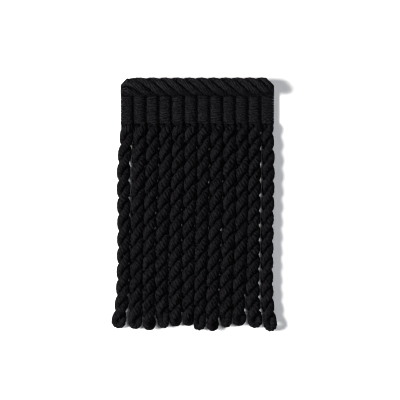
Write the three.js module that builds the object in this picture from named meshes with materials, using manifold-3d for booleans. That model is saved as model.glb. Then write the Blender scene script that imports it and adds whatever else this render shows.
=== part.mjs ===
// Bullion fringe trim: a cut length of black upholstery fringe, lying face up on a flat surface.
// A row of two-ply bullion cords hangs from a woven, ribbed heading.
// A thicker twisted cord is sewn along the heading's top.
// Millimetres. X runs along the heading, Y points from the skirt to the heading, Z is up.
// The origin is the middle of the heading's flat back.
import * as THREE from "three";
import Module from "manifold-3d";

// Heading: a ribbed band, with one rib for each bullion cord
const PITCH = 5.1;
const HEADING_HEIGHT = 17.6;
const GROOVE_HEIGHT = 1.6;
const RIB_HEIGHT = 3.3;
const RIB_FULLNESS = 2.6;
const RIB_SEGMENTS = 6;
const RIB_ROUNDING = 0.9;
const RIB_END_SHARE = 0.72;
const RIB_TOP = 2.3;
const FLAT_MARGIN = 4.0;
const CUT_CORNERS = { left: 2.0, right: 2.6 };

// Bullion cords: each is one ply, twisted down one side of the cord, round a loop and up the other side.
// A ply's section is four-sided: narrow at its crest, wide where it lies against the cord's other leg.
// Its base is narrower where it leaves the heading and where it turns round the loop.
// Neighbouring cords press each other flat where they meet.
const PLY_OFFSET = 1.4;
const PLY_CREST = { out: 1.35, halfWidth: 0.9 };
const ROOT_BASE = { out: -1.25, halfWidth: 1.2 };
const CORD_BASE = { out: -1.25, halfWidth: 1.7 };
const LOOP_BASE = { out: -0.85, halfWidth: 1.35 };
const CORD_GAP = 0.2;
const ROOT_DEPTH = 2.0;
const ROOT_AXIS_HEIGHT = 1.7;
const ROOT_RISE = 1.7;
const TWIST_LEAD = 3.0;
const TWIST_TIGHTENING = 0.09;
const TIP_SETTLING = 4.0;
const LOOP_CLEARANCE = 0.3;
const INNER_LIFT = 0.06;
const STEPS_PER_HALF_TURN = 3.6;
const LOOP_STEPS = 7;
const LEG_OPENING = 3.0;

// Depths below the heading at which a cord's sideways drift is given
const DRIFT_STATIONS = { upper: 17.6, middle: 43.2, lower: 68.8 };

// One row for each bullion cord, from left to right.
// drop: length below the heading. girth: thickness, as a share of the usual one.
// loop: radius of the bend at the tip, at the middle of the ply.
// upper, middle, lower, tip: sideways drift from the cord's rib.
// start: half turns at the root. turns: half turns from there to the bend.
// end: half turns at which the loop holds them back.
const CORD_COLUMNS = ["drop", "girth", "loop", "upper", "middle", "lower", "tip", "start", "turns", "end"];
const CORD_ROWS = [
  [81.2, 0.96, 1.62, -1.37, -1.3, -1.9, -3.35, 0.33, 11.82, 12.05],
  [81.9, 1, 1.4, -0.43, -1.06, -1.57, -1.9, 0.07, 12.18, 11.95],
  [82.6, 1, 1.75, -0.26, -1.4, -1.7, -1.35, 0.02, 12.87, 12.75],
  [81.4, 1, 1.6, -0.01, -1.21, -1.58, -1.0, 0.06, 12.55, 12.25],
  [80.9, 1, 1.45, -0.12, -1.06, -1.02, -1.1, 0.27, 12.67, 12.8],
  [80.9, 1, 1.4, -0.15, -0.88, -1.0, -1.0, 0.1, 12.85, 12.8],
  [82.7, 1, 1.6, -0.24, -0.92, -1.52, -1.8, 0.05, 12.43, 12.15],
  [82.9, 1, 1.6, 0.11, -0.53, -1.62, -1.5, -0.04, 12.93, 12.75],
  [81.1, 1, 1.5, 0.18, -0.18, -1.32, -1.2, 0.1, 12.46, 12.3],
  [81.2, 1, 1.85, 0.3, -0.4, -1.35, -1.25, -0.08, 12.15, 11.85],
  [81.3, 1, 1.75, -0.15, -0.55, -0.75, 0.2, -0.04, 13.28, 13.05],
  [83.1, 0.9, 1.65, 0.39, -0.02, -0.08, 1.1, -0.05, 13.45, 13.2],
];

// Heading cord: four soft strands laid right-handed, pressed a little flat where it is sewn down
const STRANDS = 4;
const STRAND_PITCH = 4.84;
const STRAND_SEGMENTS = 6;
const STRAND_GROOVE = 1.0;
const CREST_PLACE = 1.46;
const ROPE_WIDTH = 7.7;
const ROPE_HEIGHT = 6.6;
const ROPE_MIDDLE = 5.95;
const ROPE_STEPS = 58;
const SEAT_GAP = 0.3;
const UNLAID = { length: 12.0, share: 0.55 };
const CUT_ENDS = {
  left: { length: 2.6, inset: 0.38, lowering: 0.1 },
  right: { length: 2.8, inset: 0.42, lowering: 0.1 },
};

// Sizes that follow from the driving ones
const CORDS = CORD_ROWS.map((row) => Object.fromEntries(CORD_COLUMNS.map((name, i) => [name, row[i]])));
const HEADING_WIDTH = CORDS.length * PITCH;
const HEADING_FOOT = -HEADING_HEIGHT / 2;
const AXIS_HEIGHT = Math.hypot(PLY_OFFSET + PLY_CREST.out, PLY_CREST.halfWidth);
const ROPE_LAY = STRANDS * STRAND_PITCH;

const yarn = (color) => new THREE.MeshStandardMaterial({ color, roughness: 0.85, metalness: 0 });
const { lerp, smoothstep } = THREE.MathUtils;

// A closed solid through a row of rings, which have the same number of points and run the same way round.
// Each four-sided face between two rings is folded along its shorter diagonal.
function loft(rings) {
  const size = rings[0].length;
  const points = rings.flat();
  const triangles = [];
  for (let row = 0; row + 1 < rings.length; row += 1) {
    for (let i = 0; i < size; i += 1) {
      const next = (i + 1) % size;
      const a = row * size + i;
      const b = row * size + next;
      if (points[a].distanceTo(points[b + size]) < points[b].distanceTo(points[a + size])) {
        triangles.push(a, b, b + size, a, b + size, a + size);
      } else {
        triangles.push(a, b, a + size, b, b + size, a + size);
      }
    }
  }
  const last = (rings.length - 1) * size;
  for (const [i, j, k] of capTriangles(rings[0])) {
    triangles.push(k, j, i);
  }
  for (const [i, j, k] of capTriangles(rings[rings.length - 1])) {
    triangles.push(last + i, last + j, last + k);
  }
  return toGeometry(points.flatMap((point) => point.toArray()), triangles);
}

// The triangles that fill one flat ring, in the ring's own sense of turning.
function capTriangles(ring) {
  const normal = new THREE.Vector3();
  ring.forEach((point, i) => normal.add(point.clone().cross(ring[(i + 1) % ring.length])));
  normal.normalize();
  const across = ring[1].clone().sub(ring[0]).normalize();
  const along = normal.clone().cross(across);
  const flat = ring.map((point) => new THREE.Vector2(point.dot(across), point.dot(along)));
  return THREE.ShapeUtils.triangulateShape(flat, []);
}

function toGeometry(positions, triangles) {
  const geometry = new THREE.BufferGeometry();
  geometry.setAttribute("position", new THREE.Float32BufferAttribute(positions, 3));
  geometry.setIndex(triangles);
  geometry.computeVertexNormals();
  return geometry;
}

// Join closed geometries into one solid.
async function fuse(geometries) {
  const wasm = await Module();
  wasm.setup();
  const solids = geometries.map((geometry) => {
    const mesh = new wasm.Mesh({
      numProp: 3,
      vertProperties: new Float32Array(geometry.getAttribute("position").array),
      triVerts: new Uint32Array(geometry.getIndex().array),
    });
    return new wasm.Manifold(mesh);
  });
  const joined = solids.reduce((whole, solid) => whole.add(solid)).getMesh();
  return toGeometry(Array.from(joined.vertProperties), Array.from(joined.triVerts));
}

// Heading

const ribMiddle = (index) => (index + 0.5) * PITCH - HEADING_WIDTH / 2;

// One section of the heading across its ribs, whose height above the grooves is a share of the full one.
// The corners of the flat margin are cut off, so the section is shorter there.
function headingSection(y, share) {
  const ring = [];
  const top = CORDS.length * RIB_SEGMENTS;
  const cut = Math.max(y - FLAT_MARGIN, 0) / (HEADING_HEIGHT / 2 - FLAT_MARGIN);
  const left = -HEADING_WIDTH / 2 + CUT_CORNERS.left * cut;
  const right = HEADING_WIDTH / 2 - CUT_CORNERS.right * cut;
  for (let i = 0; i <= top; i += 1) {
    const x = lerp(left, right, i / top);
    const fromCrest = Math.abs(((i % RIB_SEGMENTS) / RIB_SEGMENTS) * 2 - 1);
    const bulge = (1 - fromCrest ** RIB_FULLNESS) ** (1 / RIB_FULLNESS);
    const z = GROOVE_HEIGHT + (RIB_HEIGHT - GROOVE_HEIGHT) * share * bulge;
    ring.push(new THREE.Vector3(x, y, z));
  }
  ring.push(new THREE.Vector3(right, y, 0));
  ring.push(new THREE.Vector3(left, y, 0));
  return ring;
}

// The ribs round off at the skirt and flatten out under the heading cord.
function headingBand() {
  return loft([
    headingSection(HEADING_FOOT, RIB_END_SHARE),
    headingSection(HEADING_FOOT + RIB_ROUNDING, 1),
    headingSection(RIB_TOP, 1),
    headingSection(FLAT_MARGIN, 0),
    headingSection(HEADING_HEIGHT / 2, 0),
  ]);
}

// Bullion cords

// A smooth curve through stations, by cubic pieces whose slopes come from the neighbouring stations.
function throughStations(places, values, place) {
  const last = places.length - 1;
  const slope = (i) => {
    const before = Math.max(i - 1, 0);
    const after = Math.min(i + 1, last);
    return i === 0 ? 0 : (values[after] - values[before]) / (places[after] - places[before]);
  };
  let piece = 0;
  while (piece < last - 1 && place > places[piece + 1]) {
    piece += 1;
  }
  const span = places[piece + 1] - places[piece];
  const t = THREE.MathUtils.clamp((place - places[piece]) / span, 0, 1);
  const rise = t * t * (3 - 2 * t);
  const leaving = t * (1 - t) * (1 - t) * span * slope(piece);
  const arriving = t * t * (t - 1) * span * slope(piece + 1);
  return values[piece] + (values[piece + 1] - values[piece]) * rise + leaving + arriving;
}

// How far a cord's legs reach below its axis, by their distance from it and their turn from the horizontal.
function legReach(cord, offset, angle) {
  const sine = Math.abs(Math.sin(angle));
  const cosine = Math.abs(Math.cos(angle));
  const crest = (offset + PLY_CREST.out * cord.girth) * sine + PLY_CREST.halfWidth * cord.girth * cosine;
  const base = (offset + LOOP_BASE.out * cord.girth) * sine + LOOP_BASE.halfWidth * cord.girth * cosine;
  return Math.max(crest, base);
}

const bendDepth = (cord) => cord.drop - cord.loop - PLY_CREST.out * cord.girth;

// Where a cord's axis runs across the trim, by the depth below the heading.
function axisPlace(index, depth) {
  const cord = CORDS[index];
  const places = [0, ...Object.values(DRIFT_STATIONS), bendDepth(cord)];
  const drifts = [0, cord.upper, cord.middle, cord.lower, cord.tip];
  return ribMiddle(index) + throughStations(places, drifts, depth);
}

// Move a point of a cord back to its own side of the middle between the cord and each neighbour.
function pressBetweenNeighbours(point, index) {
  const depth = HEADING_FOOT - point.y;
  const here = axisPlace(index, depth);
  if (index > 0) {
    point.x = Math.max(point.x, (axisPlace(index - 1, depth) + here + CORD_GAP) / 2);
  }
  if (index + 1 < CORDS.length) {
    point.x = Math.min(point.x, (axisPlace(index + 1, depth) + here - CORD_GAP) / 2);
  }
  return point;
}

// A cord's twist, its axis, and the distance of its plies from that axis and the base of their section,
// by the depth below the heading.
function cordShape(cord, index) {
  const bend = bendDepth(cord);
  const lastRate = (cord.turns * (1 + TWIST_TIGHTENING)) / bend;
  const ease = (2 * (cord.start + cord.turns - cord.end)) / lastRate;
  const standing = AXIS_HEIGHT * cord.girth;
  const loopHeight = legReach(cord, cord.loop, cord.end * Math.PI) + LOOP_CLEARANCE;

  const twist = (depth) => {
    const share = depth / bend;
    const free = cord.start + cord.turns * (share + TWIST_TIGHTENING * share * (share - 1));
    const slowing = (lastRate * Math.max(depth - (bend - ease), 0) ** 2) / (2 * ease);
    return Math.PI * (free - slowing) * smoothstep(depth, 0, TWIST_LEAD);
  };
  const opened = (depth) => smoothstep(depth, bend - LEG_OPENING, bend);
  const offset = (depth) => lerp(PLY_OFFSET * cord.girth, cord.loop, opened(depth));
  const base = (depth) => {
    const swollen = lerp(ROOT_BASE.halfWidth, CORD_BASE.halfWidth, smoothstep(depth, 0, ROOT_RISE));
    return {
      out: lerp(CORD_BASE.out, LOOP_BASE.out, opened(depth)),
      halfWidth: lerp(swollen, LOOP_BASE.halfWidth, opened(depth)),
    };
  };
  const axis = (depth) => {
    const risen = lerp(ROOT_AXIS_HEIGHT, standing, smoothstep(depth, 0, ROOT_RISE));
    const lowered = risen + (loopHeight - standing) * smoothstep(depth, bend - TIP_SETTLING, bend);
    const lowest = legReach(cord, offset(depth), twist(depth));
    return new THREE.Vector3(axisPlace(index, depth), HEADING_FOOT - depth, Math.max(lowered, lowest));
  };
  return { bend, twist, offset, base, axis };
}

// The middle line of a cord's ply, with the direction away from the cord and the section's base at a point.
function plyLine(cord, index) {
  const shape = cordShape(cord, index);
  const steps = Math.ceil(cord.turns * STEPS_PER_HALF_TURN);
  const depths = [-ROOT_DEPTH];
  for (let i = 0; i <= steps; i += 1) {
    depths.push((i / steps) * shape.bend);
  }
  const outward = (depth) => {
    const angle = shape.twist(depth);
    return new THREE.Vector3(Math.cos(angle), 0, Math.sin(angle));
  };
  const leg = (side) => (depth) => {
    const away = outward(depth).multiplyScalar(side);
    const centre = shape.axis(depth).addScaledVector(away, shape.offset(depth));
    return { away, centre, base: shape.base(depth) };
  };
  const down = depths.map(leg(1));
  const up = depths.map(leg(-1)).reverse();
  const bendMiddle = shape.axis(shape.bend);
  const sideways = outward(shape.bend);
  const loop = [];
  for (let i = 1; i < LOOP_STEPS; i += 1) {
    const angle = (i / LOOP_STEPS) * Math.PI;
    const away = sideways.clone().multiplyScalar(Math.cos(angle));
    away.y -= Math.sin(angle);
    const centre = bendMiddle.clone().addScaledVector(away, cord.loop);
    loop.push({ away, centre, base: LOOP_BASE });
  }
  return [...down, ...loop, ...up];
}

// Move a cord up or down until its lowest point is at a given height.
function settle(rings, height) {
  const points = rings.flat();
  const change = height - Math.min(...points.map((point) => point.z));
  points.forEach((point) => {
    point.z += change;
  });
}

// A four-sided tube along a ply's middle line, with its crest turned away from the cord.
// The outer cords rest on the surface. The inner ones, held between their neighbours, stay just above it.
function bullionCord(cord, index) {
  const line = plyLine(cord, index);
  const rings = line.map(({ centre, away, base }, i) => {
    const before = line[Math.max(i - 1, 0)].centre;
    const after = line[Math.min(i + 1, line.length - 1)].centre;
    const along = after.clone().sub(before).normalize();
    const out = away.clone().addScaledVector(along, -away.dot(along)).normalize();
    const side = along.clone().cross(out);
    const corner = (outBy, sideBy) => {
      const free = centre.clone().addScaledVector(out, outBy * cord.girth);
      free.addScaledVector(side, sideBy * cord.girth);
      return pressBetweenNeighbours(free, index);
    };
    return [
      corner(PLY_CREST.out, PLY_CREST.halfWidth),
      corner(base.out, base.halfWidth),
      corner(base.out, -base.halfWidth),
      corner(PLY_CREST.out, -PLY_CREST.halfWidth),
    ];
  });
  const isOuter = index === 0 || index === CORDS.length - 1;
  settle(rings, isOuter ? 0 : INNER_LIFT);
  return loft(rings);
}

async function fringe() {
  const geometry = await fuse([headingBand(), ...CORDS.map(bullionCord)]);
  const mesh = new THREE.Mesh(geometry, yarn(0x151417));
  mesh.name = "fringe";
  return mesh;
}

// Heading cord

// Each cut end is bevelled: towards it the rope's top edge comes in and its face comes down, by shares.
function bevel(x, kind) {
  const fromLeft = x + HEADING_WIDTH / 2;
  const fromRight = HEADING_WIDTH / 2 - x;
  const share = (end, distance) => end[kind] * Math.max(1 - distance / end.length, 0);
  return share(CUT_ENDS.left, fromLeft) + share(CUT_ENDS.right, fromRight);
}

// The turn of the strands along the rope. They lie flatter towards the left end, where they have unlaid.
function strandTurn(x) {
  const unlaid = Math.max(UNLAID.length - (x + HEADING_WIDTH / 2), 0);
  const lag = (UNLAID.share * unlaid ** 3) / (3 * UNLAID.length ** 2);
  return (2 * Math.PI * (x - CREST_PLACE + lag)) / ROPE_LAY + Math.PI / 2;
}

function ropeSection(x) {
  const ring = [];
  const turn = strandTurn(x);
  const halfWidth = (ROPE_WIDTH / 2) * (1 - bevel(x, "inset"));
  const halfHeight = (ROPE_HEIGHT / 2) * (1 - bevel(x, "lowering"));
  const middleY = ROPE_MIDDLE - ROPE_WIDTH / 2 + halfWidth;
  const middleZ = GROOVE_HEIGHT + SEAT_GAP + halfHeight;
  const count = STRANDS * STRAND_SEGMENTS;
  for (let i = 0; i < count; i += 1) {
    const fromCrest = Math.abs(((i % STRAND_SEGMENTS) / STRAND_SEGMENTS) * 2 - 1);
    const radius = 1 - (STRAND_GROOVE / (ROPE_WIDTH / 2)) * fromCrest ** 2;
    const angle = turn + ((i + STRAND_SEGMENTS / 2) / count) * 2 * Math.PI;
    const y = middleY + radius * halfWidth * Math.cos(angle);
    const z = middleZ + radius * halfHeight * Math.sin(angle);
    ring.push(new THREE.Vector3(x, y, z));
  }
  return ring;
}

function headingCord() {
  const rings = [];
  for (let i = 0; i <= ROPE_STEPS; i += 1) {
    rings.push(ropeSection((i / ROPE_STEPS - 0.5) * HEADING_WIDTH));
  }
  const mesh = new THREE.Mesh(loft(rings), yarn(0x1b1a1e));
  mesh.name = "heading_cord";
  return mesh;
}

const trim = new THREE.Group();
trim.add(await fringe());
trim.add(headingCord());

export default trim;
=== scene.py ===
"""A black bullion fringe trim, built yarn by yarn in the places of its solids."""
import math

import bpy
import numpy as np
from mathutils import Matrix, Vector


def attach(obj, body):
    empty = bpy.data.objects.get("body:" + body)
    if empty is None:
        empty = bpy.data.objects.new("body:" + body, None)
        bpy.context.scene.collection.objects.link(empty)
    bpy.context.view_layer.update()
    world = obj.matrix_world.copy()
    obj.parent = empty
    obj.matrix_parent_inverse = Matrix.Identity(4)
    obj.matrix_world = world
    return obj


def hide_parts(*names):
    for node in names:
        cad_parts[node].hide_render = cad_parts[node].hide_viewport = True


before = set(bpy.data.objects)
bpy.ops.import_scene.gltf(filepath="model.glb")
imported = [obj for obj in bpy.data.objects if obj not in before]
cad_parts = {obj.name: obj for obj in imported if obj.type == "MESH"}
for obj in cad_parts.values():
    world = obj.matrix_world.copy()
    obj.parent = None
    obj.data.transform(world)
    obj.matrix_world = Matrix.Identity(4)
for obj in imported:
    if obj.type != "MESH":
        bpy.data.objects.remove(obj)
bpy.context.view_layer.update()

# Sizes are in millimetres, in the frame of the solids, and turn into metres as each mesh is made.
MM = 0.001

# Heading: a band of ribs, each the two legs of one bullion cord, bound by warp threads
PITCH = 5.1
HEADING_HEIGHT = 17.6
RIB_HEIGHT = 3.3
RIB_END_SHARE = 0.72
RIB_ROUNDING = 0.9
RIB_HALF_WIDTH = 2.0
RIB_FULLNESS = 2.5
SELVEDGE = 0.45
# Going up the heading, the ribs keep their height to RIB_TOP and are flat from FLAT_MARGIN on
RIB_TOP = 2.3
FLAT_MARGIN = 4.0
MARGIN_HEIGHT = 1.6
CUT_CORNERS = {"left": 2.0, "right": 2.6}
# Inside the ribs, and the warp threads over and under them
CORE_COLUMNS = 24
CORE_ROWS = 60
CORE_GAP = 0.05
WARP_THREADS = 34
WARP_POINTS = 40
WARP_STEP = 0.3
WARP_WANDER = 0.18
WARP_WANDER_SEED = 5
WARP_SLANT = 0.25
WARP_MARGIN = 0.8
# The section of a warp thread, a pair of yarns side by side: places along the heading's height and outward
WARP_SECTION = [
    (0.46, 0.0), (0.27, 0.25), (0.0, 0.17), (-0.27, 0.25),
    (-0.46, 0.0), (-0.27, -0.25), (0.0, -0.17), (0.27, -0.25),
]

# Bullion cords: each is one ply that twists down to a loop and back up round itself.
# The ply has a radius, away from the cord's axis, and a half width across it, which is fuller at its crest.
PLY_OFFSET = 1.4
PLY_RADIUS = 1.5
PLY_HALF_WIDTH = 1.68
PLY_CREST_FULLNESS = 0.25
CONTACT_GAP = 0.02
INNER_LIFT = 0.06
# At the root, inside the heading's edge
ROOT_OFFSET = 1.27
ROOT_RADIUS = 1.26
ROOT_HALF_WIDTH = 1.25
ROOT_DEPTH = 1.2
ROOT_AXIS_HEIGHT = 1.7
ROOT_RISE = 1.7
# Along the twist
TWIST_LEAD = 3.0
TWIST_TIGHTENING = 0.09
LEG_GAP = 0.03
LEG_POINTS = 900
# At the loop
TIP_SETTLING = 4.0
LEG_OPENING = 3.0
LOOP_CLEARANCE = 0.3
LOOP_POINTS = 40
TIGHT_LOOP = 1.0
EYE_SHARE = 0.2
# Edges of the solid ply's section, from its middle: they set how high a cord lies and where it turns back
CREST_OUT = 1.35
CREST_HALF_WIDTH = 0.9
BASE_OUT = -0.85
BASE_HALF_WIDTH = 1.35
# The yarns that a ply is wound of. They are pressed flat towards the other leg, fully from a share on.
PLY_STEP = 0.25
PLY_YARNS = 3
PLY_YARN_COLUMNS = 7
PLY_YARN_LAY = 3.0
PLY_YARN_DEPTH = 0.36
PRESSED_SHARE = 0.7

# Depths below the heading at which a cord's sideways drift is given
DRIFT_DEPTHS = [17.6, 43.2, 68.8]

# One row for each bullion cord, from left to right.
# drop: length below the heading. girth: thickness, as a share of the usual one.
# loop: radius of the bend at the tip, at the middle of the solid ply.
# upper, middle, lower, tip: sideways drift from the cord's rib.
# start: half turns at the root. turns: half turns from there to the bend.
# end: half turns at which the loop holds them back.
CORD_COLUMNS = ["drop", "girth", "loop", "upper", "middle", "lower", "tip", "start", "turns", "end"]
CORD_ROWS = [
    [81.9, 0.96, 1.78, -1.37, -1.3, -1.9, -3.35, 0.33, 11.82, 12.05],
    [82.15, 1, 1.5, -0.43, -1.06, -1.57, -1.9, 0.07, 12.18, 11.95],
    [82.6, 1, 1.75, -0.26, -1.4, -1.7, -1.35, 0.02, 12.87, 12.75],
    [81.8, 1, 1.6, -0.01, -1.21, -1.58, -0.7, 0.06, 12.55, 12.25],
    [81.1, 1, 1.45, -0.12, -1.06, -1.02, -1.1, 0.27, 12.67, 12.8],
    [80.9, 1, 1.4, -0.15, -0.88, -1.0, -1.0, 0.1, 12.85, 12.8],
    [82.7, 1, 1.6, -0.24, -0.92, -1.52, -1.8, 0.05, 12.43, 12.15],
    [82.9, 1, 1.6, 0.11, -0.53, -1.62, -1.5, -0.04, 12.93, 12.75],
    [81.5, 1, 1.5, 0.18, -0.18, -1.32, -1.2, 0.1, 12.46, 12.3],
    [80.9, 1, 1.85, 0.3, -0.4, -1.35, -1.25, -0.08, 12.15, 11.85],
    [81.75, 1, 1.75, -0.15, -0.55, -0.75, 0.2, -0.04, 13.28, 13.05],
    [83.1, 0.9, 1.75, 0.39, -0.02, -0.08, 1.2, -0.05, 13.45, 13.2],
]
CORDS = [dict(zip(CORD_COLUMNS, row)) for row in CORD_ROWS]
LAST_CORD = len(CORDS) - 1

# Heading cord: four soft strands laid right-handed
STRANDS = 4
STRAND_PITCH = 4.84
STRAND_INNER = 0.55
STRAND_SPREAD = math.radians(39.0)
STRAND_FLATNESS = 0.65
CREST_PLACE = 1.46
ROPE_WIDTH = 7.7
ROPE_HEIGHT = 6.6
ROPE_STEP = 0.4
# Where its middle lies along the heading's height, and its underside above the surface
ROPE_MIDDLE = 5.95
ROPE_SEAT = 1.9
# The yarns of a strand
STRAND_YARNS = 9
STRAND_YARN_COLUMNS = 6
STRAND_YARN_DEPTH = 0.45
STRAND_YARN_LAY = 42.0
# Towards the left end the strands have unlaid, and at both ends the upper corners are cut off
UNLAID = {"length": 16.0, "share": 0.8}
LEFT_END = {"length": 2.6, "inset": 0.38, "lowering": 0.1}
RIGHT_END = {"length": 2.8, "inset": 0.42, "lowering": 0.1}

# Sizes that follow from the ones above
HEADING_WIDTH = len(CORDS) * PITCH
HEADING_FOOT = -HEADING_HEIGHT / 2
AXIS_HEIGHT = math.hypot(PLY_OFFSET + CREST_OUT, CREST_HALF_WIDTH)
ROPE_LAY = STRANDS * STRAND_PITCH
WARP_HALF_THICKNESS = max(outward for _, outward in WARP_SECTION)

# Yarn coordinates run in millimetres round a thread and are drawn out along it, as its fibres are.
# They begin further on in each thread than in the one before, so that no two have the same grain.
FIBRE_STRETCH = 1.5
GRAIN_SHIFT = 100.0
PLY_GIRTH = math.pi * (PLY_RADIUS + PLY_HALF_WIDTH)
WARP_GIRTH = 2.6
STRAND_GIRTH = 9.5

# Yarn finish: the inputs of its shader and textures, and where the ramp turns from dark to light dye
YARN_GLOSS = {"Specular IOR Level": 0.008, "Sheen Weight": 0.002, "Sheen Roughness": 0.5}
DYE_NOISE = {"Scale": 2.2, "Detail": 1, "Roughness": 0.7}
DYE_RAMP = (0.46, 0.54)
FIBRE_NOISE = {"Scale": 5.0, "Detail": 2}
FIBRE_RELIEF = {"Strength": 1.0, "Distance": 0.15 * MM}
YARNS = {
    "bullion_yarn": {
        "dark": (0.0002, 0.0002, 0.0003),
        "light": (0.0086, 0.0080, 0.0096),
        "roughness": 0.6,
    },
    "warp_yarn": {
        "dark": (0.0004, 0.0004, 0.0005),
        "light": (0.0112, 0.0105, 0.0125),
        "roughness": 0.6,
    },
    "cord_yarn": {
        "dark": (0.0006, 0.0006, 0.0007),
        "light": (0.0132, 0.0123, 0.0148),
        "roughness": 0.55,
    },
}

# Floor and light: each lamp has a name, a place, the side of its square, a power in watts and a colour
FLOOR_HALF_WIDTH = 3000.0
FLOOR_FINISH = {"Base Color": (0.88, 0.88, 0.88, 1), "Roughness": 0.9, "Specular IOR Level": 0.1}
WORLD_LIGHT = {"Color": (1, 1, 1, 1), "Strength": 0.02}
WARM_WHITE = (1.0, 0.97, 0.95)
COOL_WHITE = (0.94, 0.96, 1.0)
LAMPS = [
    ("left", (-900, -40, 740), 420, 37, WARM_WHITE),
    ("top", (100, 900, 600), 600, 1, COOL_WHITE),
    ("right", (300, -40, 950), 250, 4, COOL_WHITE),
    ("bottom", (0, -950, 600), 600, 1, COOL_WHITE),
]
LAMP_TARGET = (0.0, -40.0, 0.0)

# Camera: straight above the trim, with the photograph's field of view at the height of the cords
CAMERA_PLACE = (1.08, -39.2, 1200.0)
FIELD_WIDTH = 160.0
SENSOR_WIDTH = 36.0
FACE_HEIGHT = 3.0
PIXEL_FILTER_WIDTH = 1.0


# Shared shapes

def smoothstep(value, low, high):
    """A share that rises from 0 at the low value to 1 at the high one, with no kinks."""
    share = np.clip((value - low) / (high - low), 0, 1)
    return share * share * (3 - 2 * share)


def unit(vectors):
    """Vectors of length 1 in the same directions."""
    return vectors / np.linalg.norm(vectors, axis=-1, keepdims=True)


def through_stations(places, values, at):
    """A smooth curve through stations, by cubic pieces whose slopes come from the neighbouring stations."""
    places = np.asarray(places, float)
    values = np.asarray(values, float)
    slopes = np.zeros_like(values)
    slopes[1:-1] = (values[2:] - values[:-2]) / (places[2:] - places[:-2])
    slopes[-1] = (values[-1] - values[-2]) / (places[-1] - places[-2])
    piece = np.clip(np.searchsorted(places, at) - 1, 0, len(places) - 2)
    span = places[piece + 1] - places[piece]
    share = np.clip((at - places[piece]) / span, 0, 1)
    rise = smoothstep(share, 0, 1)
    leaving = share * (1 - share) ** 2 * span * slopes[piece]
    arriving = share ** 2 * (share - 1) * span * slopes[piece + 1]
    return values[piece] + (values[piece + 1] - values[piece]) * rise + leaving + arriving


def evenly_spaced(points, step, *others):
    """A line's points at even steps along its length, with other values carried along."""
    lengths = np.concatenate([[0], np.cumsum(np.linalg.norm(np.diff(points, axis=0), axis=1))])
    at = np.linspace(0, lengths[-1], int(lengths[-1] / step) + 1)
    carried = []
    for values in (points, *others):
        columns = values.reshape(len(points), -1).T
        carried.append(np.stack([np.interp(at, lengths, column) for column in columns], axis=1))
    return at, carried


def tube(rings, lengths, girth):
    """A closed tube through rings of points.

    It comes as points, four-sided faces, end triangles, and yarn coordinates at the corners of the faces.
    """
    rows, columns, _ = rings.shape
    first, last = rings[0].mean(axis=0), rings[-1].mean(axis=0)
    points = np.concatenate([rings.reshape(-1, 3), [first, last]])
    grid = np.arange(rows * columns).reshape(rows, columns)
    turned = np.roll(grid, -1, axis=1)
    quads = np.stack([grid[:-1], turned[:-1], turned[1:], grid[1:]], axis=-1).reshape(-1, 4)
    middle = np.full(columns, rows * columns)
    start = np.stack([turned[0], grid[0], middle], axis=-1)
    end = np.stack([grid[-1], turned[-1], middle + 1], axis=-1)
    along = np.broadcast_to(lengths[:, None] / FIBRE_STRETCH, (rows, columns + 1))
    around = np.broadcast_to(np.arange(columns + 1) / columns * girth, (rows, columns + 1))
    place = np.stack([along, around], axis=-1)
    corners = np.stack([place[:-1, :-1], place[:-1, 1:], place[1:, 1:], place[1:, :-1]], axis=2)
    return points, quads, np.concatenate([start, end]), corners.reshape(-1, 2)


def joined(tubes):
    """Several tubes as one set of points, four-sided faces, triangles and yarn coordinates."""
    counts = np.cumsum([0] + [len(points) for points, *_ in tubes])
    points = np.concatenate([part[0] for part in tubes])
    quads = np.concatenate([part[1] + count for part, count in zip(tubes, counts)])
    triangles = np.concatenate([part[2] + count for part, count in zip(tubes, counts)])
    return points, quads, triangles, np.concatenate([part[3] for part in tubes])


def add_piece(name, shape, material, node):
    """A smooth mesh that rides on the trim's body and stands for one of its solids."""
    points, quads, triangles, places = shape
    mesh = bpy.data.meshes.new(name)
    mesh.from_pydata((points * MM).tolist(), [], quads.tolist() + triangles.tolist())
    mesh.polygons.foreach_set("use_smooth", np.ones(len(mesh.polygons), bool))
    ends = np.zeros((3 * len(triangles), 2))
    layer = mesh.uv_layers.new(name="yarn")
    layer.data.foreach_set("uv", np.concatenate([places, ends]).ravel())
    mesh.materials.append(material)
    mesh.update()
    piece = bpy.data.objects.new(name, mesh)
    bpy.context.scene.collection.objects.link(piece)
    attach(piece, "root")
    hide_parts(node)
    return piece


# Bullion cords

def rib_middle(index):
    """Where a cord's rib is, along the heading."""
    return (index + 0.5) * PITCH - HEADING_WIDTH / 2


def bend_depth(cord):
    """How far below the heading a cord begins to turn back."""
    return cord["drop"] - cord["loop"] - CREST_OUT * cord["girth"]


def axis_place(index, depth):
    """Where a cord's axis is, along the heading, at depths below it."""
    cord = CORDS[index]
    places = [0, *DRIFT_DEPTHS, bend_depth(cord)]
    drifts = [0, cord["upper"], cord["middle"], cord["lower"], cord["tip"]]
    return rib_middle(index) + through_stations(places, drifts, depth)


def leg_reach(cord, offset, angle):
    """How far a cord's solid legs reach below its axis.

    It follows from their distance from the axis and their turn from the horizontal.
    """
    sine = np.abs(np.sin(angle))
    cosine = np.abs(np.cos(angle))
    girth = cord["girth"]
    crest = (offset + CREST_OUT * girth) * sine + CREST_HALF_WIDTH * girth * cosine
    base = (offset + BASE_OUT * girth) * sine + BASE_HALF_WIDTH * girth * cosine
    return np.maximum(crest, base)


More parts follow.
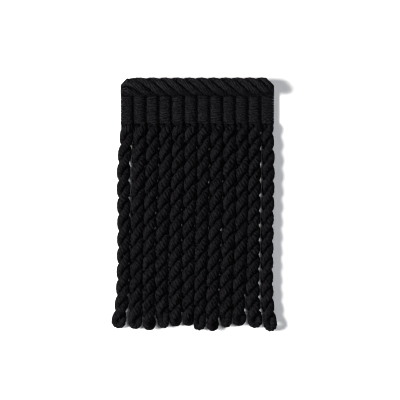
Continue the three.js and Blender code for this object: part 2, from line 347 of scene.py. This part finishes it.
def cord_twist(cord, depth):
    """The turn of a cord's legs at depths below the heading, in radians.

    It tightens on the way down, and the loop then holds it back.
    """
    bend = bend_depth(cord)
    last_rate = cord["turns"] * (1 + TWIST_TIGHTENING) / bend
    ease = 2 * (cord["start"] + cord["turns"] - cord["end"]) / last_rate
    share = depth / bend
    free = cord["start"] + cord["turns"] * (share + TWIST_TIGHTENING * share * (share - 1))
    slowing = last_rate * np.maximum(depth - (bend - ease), 0) ** 2 / (2 * ease)
    return math.pi * (free - slowing) * smoothstep(depth, 0, TWIST_LEAD)


def cord_legs(index):
    """A cord's twist and axis, down to its loop, with what a section of its legs needs at each point.

    That is the distance of the legs from the axis, their radius and half width, and the gap between them.
    """
    cord = CORDS[index]
    girth = cord["girth"]
    bend = bend_depth(cord)
    depth = np.linspace(-ROOT_DEPTH, bend, LEG_POINTS)
    twist = cord_twist(cord, depth)
    swell = smoothstep(depth, 0, ROOT_RISE)
    opened = smoothstep(depth, bend - LEG_OPENING, bend)

    standing = AXIS_HEIGHT * girth
    loop_height = leg_reach(cord, cord["loop"], cord["end"] * math.pi) + LOOP_CLEARANCE
    rise = (standing - ROOT_AXIS_HEIGHT) * swell
    lowering = (loop_height - standing) * smoothstep(depth, bend - TIP_SETTLING, bend)
    lowest = leg_reach(cord, PLY_OFFSET * girth + (cord["loop"] - PLY_OFFSET * girth) * opened, twist)
    height = np.maximum(ROOT_AXIS_HEIGHT + rise + lowering, lowest)
    axis = np.stack([axis_place(index, depth), HEADING_FOOT - depth, height], axis=1)

    loop_radius = cord["loop"] + (CREST_OUT - PLY_RADIUS) * girth
    offset = (ROOT_OFFSET + (PLY_OFFSET - ROOT_OFFSET) * swell) * girth
    offset = offset + (loop_radius - PLY_OFFSET * girth) * opened
    radius = ROOT_RADIUS + (PLY_RADIUS - ROOT_RADIUS) * swell
    width = ROOT_HALF_WIDTH + (PLY_HALF_WIDTH - ROOT_HALF_WIDTH) * swell
    width = width + (PLY_RADIUS - PLY_HALF_WIDTH) * opened
    gap = LEG_GAP + EYE_SHARE * (cord["loop"] - TIGHT_LOOP) * opened
    return twist, axis, offset, radius * girth, width * girth, gap


def ply_line(index):
    """The middle line of a cord's ply, down, round the loop and up.

    With it come the direction away from the cord's axis and what a section needs at each point.
    """
    twist, axis, offset, *others = cord_legs(index)
    away = np.stack([np.cos(twist), np.zeros_like(twist), np.sin(twist)], axis=1)
    angles = np.linspace(0, math.pi, LOOP_POINTS)[1:-1, None]
    round_loop = away[-1] * np.cos(angles) - np.array([0, 1, 0]) * np.sin(angles)
    legs = away * offset[:, None]
    points = np.concatenate([axis + legs, axis[-1] + round_loop * offset[-1], (axis - legs)[::-1]])
    outward = np.concatenate([away, round_loop, -away[::-1]])
    carried = []
    for values in (offset, *others):
        carried.append(np.concatenate([values, np.full(len(angles), values[-1]), values[::-1]]))
    return points, outward, *carried


def room_between(index, y):
    """How far a cord may reach to each side before it presses on its neighbours."""
    depth = HEADING_FOOT - y
    here = axis_place(index, depth)
    low = np.full_like(y, -np.inf)
    high = np.full_like(y, np.inf)
    if index > 0:
        low = (here + axis_place(index - 1, depth)) / 2 + CONTACT_GAP
    if index < LAST_CORD:
        high = (here + axis_place(index + 1, depth)) / 2 - CONTACT_GAP
    return low, high


def bullion_ply(index):
    """The ply of one cord, wound of yarns whose ridges its columns follow."""
    line, *others = ply_line(index)
    at, (middle, outward, offset, radius, width, gap) = evenly_spaced(line, PLY_STEP, *others)
    along = unit(np.gradient(middle, axis=0))
    out = unit(outward - along * np.sum(outward * along, axis=1, keepdims=True))
    side = np.cross(along, out)
    columns = np.arange(PLY_YARNS * PLY_YARN_COLUMNS)
    across = (columns % PLY_YARN_COLUMNS) / PLY_YARN_COLUMNS * 2 - 1
    # The yarns of each cord begin one radian further round than those of the cord before
    angle = columns / len(columns) * 2 * math.pi - at[:, None] * 2 * math.pi / PLY_YARN_LAY + index
    pressed = smoothstep(-np.cos(angle), 0, PRESSED_SHARE)
    depth = PLY_YARN_DEPTH * (1 - np.sqrt(1 - across ** 2)) * (1 - pressed)
    reach_out = np.maximum((radius - depth) * np.cos(angle), gap - offset)
    reach_side = (width - depth) * np.sin(angle) * (1 + PLY_CREST_FULLNESS * np.cos(angle))
    rings = middle[:, None] + out[:, None] * reach_out[..., None] + side[:, None] * reach_side[..., None]
    low, high = room_between(index, rings[..., 1])
    rings[..., 0] = np.clip(rings[..., 0], low, high)
    lift = 0 if index in (0, LAST_CORD) else INNER_LIFT
    rings[..., 2] += lift - rings[..., 2].min()
    return tube(rings, at + GRAIN_SHIFT * index, PLY_GIRTH)


# Heading

def rib_top(y):
    """The height of the ribs along the heading: rounded at the skirt, flattened under the heading cord."""
    rounded = RIB_END_SHARE + (1 - RIB_END_SHARE) * smoothstep(y, HEADING_FOOT, HEADING_FOOT + RIB_ROUNDING)
    flattened = smoothstep(y, RIB_TOP, FLAT_MARGIN)
    return MARGIN_HEIGHT + (RIB_HEIGHT - MARGIN_HEIGHT) * rounded * (1 - flattened)


def oval(angle, half_width, half_height):
    """Points of a full oval section, across the rib and up."""
    power = 2 / RIB_FULLNESS
    across = np.sign(np.cos(angle)) * np.abs(np.cos(angle)) ** power
    up = np.sign(np.sin(angle)) * np.abs(np.sin(angle)) ** power
    return half_width * across, half_height * up


def place_in_heading(index, across, y):
    """Places along the heading of points across one of its ribs.

    The outer ribs reach to the selvedge.
    All ribs draw together where the corners of the flat margin are cut off.
    """
    x = rib_middle(index) + across
    if index == 0:
        x = x + SELVEDGE * np.minimum(across / RIB_HALF_WIDTH, 0)
    if index == LAST_CORD:
        x = x + SELVEDGE * np.maximum(across / RIB_HALF_WIDTH, 0)
    cut = np.maximum(y - FLAT_MARGIN, 0) / (HEADING_HEIGHT / 2 - FLAT_MARGIN)
    share = x / HEADING_WIDTH + 0.5
    return x + cut * (CUT_CORNERS["left"] * (1 - share) - CUT_CORNERS["right"] * share)


def rib_cores():
    """The legs of the cords inside the heading, as one full rib for each cord.

    A thin edge at mid height reaches from each rib to the next, as the yarns of the legs do.
    """
    y = np.linspace(HEADING_FOOT, -HEADING_FOOT, CORE_ROWS)
    angle = np.linspace(0, 2 * math.pi, CORE_COLUMNS, endpoint=False)
    half = rib_top(y)[:, None] / 2
    inset = 2 * WARP_HALF_THICKNESS + CORE_GAP
    core = RIB_HALF_WIDTH - WARP_HALF_THICKNESS - CORE_GAP
    across, up = oval(-angle, core, half - inset)
    across = np.where(np.isclose(np.abs(across), core), np.sign(across) * PITCH / 2, across)
    along = np.broadcast_to(y[:, None], up.shape)
    ribs = []
    for index in range(len(CORDS)):
        left = -core if index == 0 else -PITCH / 2
        right = core if index == LAST_CORD else PITCH / 2
        reach = np.broadcast_to(np.clip(across, left, right), up.shape)
        rings = np.stack([place_in_heading(index, reach, along), along, half + up], axis=-1)
        ribs.append(tube(rings, y, PLY_GIRTH))
    return joined(ribs)


def warp_line(y, parity, wander):
    """A warp thread's middle line across the ribs, over one and under the next.

    Away from the edges of the heading it is a little uneven and slanted.
    """
    angle = np.linspace(math.pi, 0, WARP_POINTS)
    half = rib_top(y) / 2
    across, up = oval(angle, RIB_HALF_WIDTH, half - WARP_HALF_THICKNESS)
    free = abs(y) < HEADING_HEIGHT / 2 - WARP_MARGIN
    line = []
    for index in range(len(CORDS)):
        over = 1 if (index + parity) % 2 == 0 else -1
        place = place_in_heading(index, across, y)
        height = y + free * (wander[index] + WARP_SLANT * over * across / RIB_HALF_WIDTH)
        line.append(np.stack([place, height, half + over * up], axis=1))
    return np.concatenate(line)


def warp_threads():
    """The warp threads of the heading, each a pair of yarns woven over and under the ribs."""
    section = np.array(WARP_SECTION)
    upward = np.array([0.0, 1.0, 0.0])
    chance = np.random.default_rng(WARP_WANDER_SEED)
    threads = []
    for index in range(WARP_THREADS):
        y = HEADING_FOOT + (index + 0.5) * HEADING_HEIGHT / WARP_THREADS
        wander = chance.uniform(-WARP_WANDER, WARP_WANDER, len(CORDS))
        wander[[0, -1]] = 0
        at, (middle,) = evenly_spaced(warp_line(y, index % 2, wander), WARP_STEP)
        outward = np.cross(unit(np.gradient(middle, axis=0)), upward)
        rings = middle[:, None] + upward * section[:, :1] + outward[:, None] * section[:, 1:]
        threads.append(tube(rings, at + GRAIN_SHIFT * index, WARP_GIRTH))
    return joined(threads)


# Heading cord

def bevel(x, kind):
    """How far the rope's top edge comes in, or its face comes down, towards its cut ends, as a share."""
    left = np.maximum(1 - (x + HEADING_WIDTH / 2) / LEFT_END["length"], 0)
    right = np.maximum(1 - (HEADING_WIDTH / 2 - x) / RIGHT_END["length"], 0)
    return LEFT_END[kind] * left + RIGHT_END[kind] * right


def strand_turn(x):
    """The turn of the strands along the rope, in radians.

    Towards the left end they lie flatter, by a share that grows with the square of the distance.
    """
    unlaid = np.maximum(UNLAID["length"] - (x + HEADING_WIDTH / 2), 0)
    lag = UNLAID["share"] * unlaid ** 3 / (3 * UNLAID["length"] ** 2)
    return 2 * math.pi * (x - CREST_PLACE + lag) / ROPE_LAY + math.pi / 2


def rope_strand(index):
    """One strand of the heading cord: a rounded wedge of its section, with the ridges of its yarns."""
    x = np.linspace(-HEADING_WIDTH / 2, HEADING_WIDTH / 2, int(HEADING_WIDTH / ROPE_STEP) + 1)[:, None]
    columns = np.arange(STRAND_YARNS * STRAND_YARN_COLUMNS)
    in_yarn = (columns % STRAND_YARN_COLUMNS) / STRAND_YARN_COLUMNS * 2 - 1
    around = columns / len(columns) * 2 * math.pi + x * 2 * math.pi / STRAND_YARN_LAY
    half_depth = (ROPE_WIDTH / 2 - STRAND_INNER) / 2
    sunk = 1 - STRAND_YARN_DEPTH / half_depth * (1 - np.sqrt(1 - in_yarn ** 2))
    outward = np.sign(np.cos(around)) * np.abs(np.cos(around)) ** STRAND_FLATNESS
    radius = STRAND_INNER + half_depth + half_depth * sunk * outward
    turn = strand_turn(x) + index * 2 * math.pi / STRANDS
    angle = turn + STRAND_SPREAD * sunk * np.sin(around)
    width = 1 - bevel(x, "inset")
    height = 1 - bevel(x, "lowering")
    y = ROPE_MIDDLE - (1 - width) * ROPE_WIDTH / 2 + width * radius * np.cos(angle)
    z = ROPE_SEAT + height * ROPE_HEIGHT / 2 + height * radius * np.sin(angle) * ROPE_HEIGHT / ROPE_WIDTH
    rings = np.stack([np.broadcast_to(x, y.shape), y, z], axis=-1)
    return tube(rings, x[:, 0] + GRAIN_SHIFT * index, STRAND_GIRTH)


# Materials

def set_inputs(node, values):
    """Sets a node's own inputs, by their names."""
    for name, value in values.items():
        node.inputs[name].default_value = value


def yarn_material(name, dark, light, roughness):
    """Black spun yarn: uneven dye, a soft sheen and fine fibres drawn out along each yarn."""
    material = bpy.data.materials.new(name)
    material.use_nodes = True
    nodes, links = material.node_tree.nodes, material.node_tree.links
    shader = nodes["Principled BSDF"]
    set_inputs(shader, {"Roughness": roughness, **YARN_GLOSS})
    place = nodes.new("ShaderNodeTexCoord")
    dye = nodes.new("ShaderNodeTexNoise")
    set_inputs(dye, DYE_NOISE)
    colour = nodes.new("ShaderNodeValToRGB")
    for stop, position, tint in zip(colour.color_ramp.elements, DYE_RAMP, (dark, light)):
        stop.position = position
        stop.color = (*tint, 1)
    fibre = nodes.new("ShaderNodeTexNoise")
    set_inputs(fibre, FIBRE_NOISE)
    bump = nodes.new("ShaderNodeBump")
    set_inputs(bump, FIBRE_RELIEF)
    links.new(place.outputs["UV"], dye.inputs["Vector"])
    links.new(dye.outputs["Fac"], colour.inputs["Fac"])
    links.new(colour.outputs["Color"], shader.inputs["Base Color"])
    links.new(place.outputs["UV"], fibre.inputs["Vector"])
    links.new(fibre.outputs["Fac"], bump.inputs["Height"])
    links.new(bump.outputs["Normal"], shader.inputs["Normal"])
    return material


def floor_material():
    """The plain pale floor."""
    material = bpy.data.materials.new("floor_white")
    material.use_nodes = True
    set_inputs(material.node_tree.nodes["Principled BSDF"], FLOOR_FINISH)
    return material


# Surroundings

def in_metres(place):
    """A place in metres, for a lamp or the camera."""
    return Vector(np.array(place) * MM)


def add_floor():
    """A wide square floor that the trim lies on."""
    mesh = bpy.data.meshes.new("floor")
    half = FLOOR_HALF_WIDTH
    corners = np.array([(-half, -half, 0), (half, -half, 0), (half, half, 0), (-half, half, 0)])
    mesh.from_pydata((corners * MM).tolist(), [], [(0, 1, 2, 3)])
    mesh.materials.append(floor_material())
    floor = bpy.data.objects.new("floor", mesh)
    bpy.context.scene.collection.objects.link(floor)


def add_lamp(name, place, size, power, colour):
    """A square soft light that faces the middle of the trim."""
    light = bpy.data.lights.new(name, "AREA")
    light.size = size * MM
    light.energy = power
    light.color = colour
    lamp = bpy.data.objects.new(name, light)
    lamp.location = in_metres(place)
    backward = lamp.location - in_metres(LAMP_TARGET)
    lamp.rotation_euler = backward.to_track_quat("Z", "Y").to_euler()
    bpy.context.scene.collection.objects.link(lamp)


def add_camera():
    """A camera that looks straight down on the trim."""
    camera = bpy.data.cameras.new("camera")
    camera.sensor_width = SENSOR_WIDTH
    camera.lens = SENSOR_WIDTH * (CAMERA_PLACE[2] - FACE_HEIGHT) / FIELD_WIDTH
    eye = bpy.data.objects.new("camera", camera)
    eye.location = in_metres(CAMERA_PLACE)
    bpy.context.scene.collection.objects.link(eye)
    bpy.context.scene.camera = eye


def set_up_light():
    """Soft studio light, strongest from the left, and plain colours with sharp pixels."""
    world = bpy.data.worlds.new("studio")
    world.use_nodes = True
    set_inputs(world.node_tree.nodes["Background"], WORLD_LIGHT)
    scene = bpy.context.scene
    scene.world = world
    for lamp in LAMPS:
        add_lamp(*lamp)
    scene.view_settings.view_transform = "Standard"
    scene.cycles.filter_width = PIXEL_FILTER_WIDTH


yarns = {name: yarn_material(name, **finish) for name, finish in YARNS.items()}

for index in range(len(CORDS)):
    name = f"bullion_cord_{index + 1:02d}"
    add_piece(name, bullion_ply(index), yarns["bullion_yarn"], "fringe")
cores = add_piece("heading_ribs", rib_cores(), yarns["warp_yarn"], "fringe")
warps = add_piece("heading_warp", warp_threads(), yarns["warp_yarn"], "fringe")
strands = joined([rope_strand(index) for index in range(STRANDS)])
rope = add_piece("heading_cord_strands", strands, yarns["cord_yarn"], "heading_cord")

add_floor()
add_camera()
set_up_light()
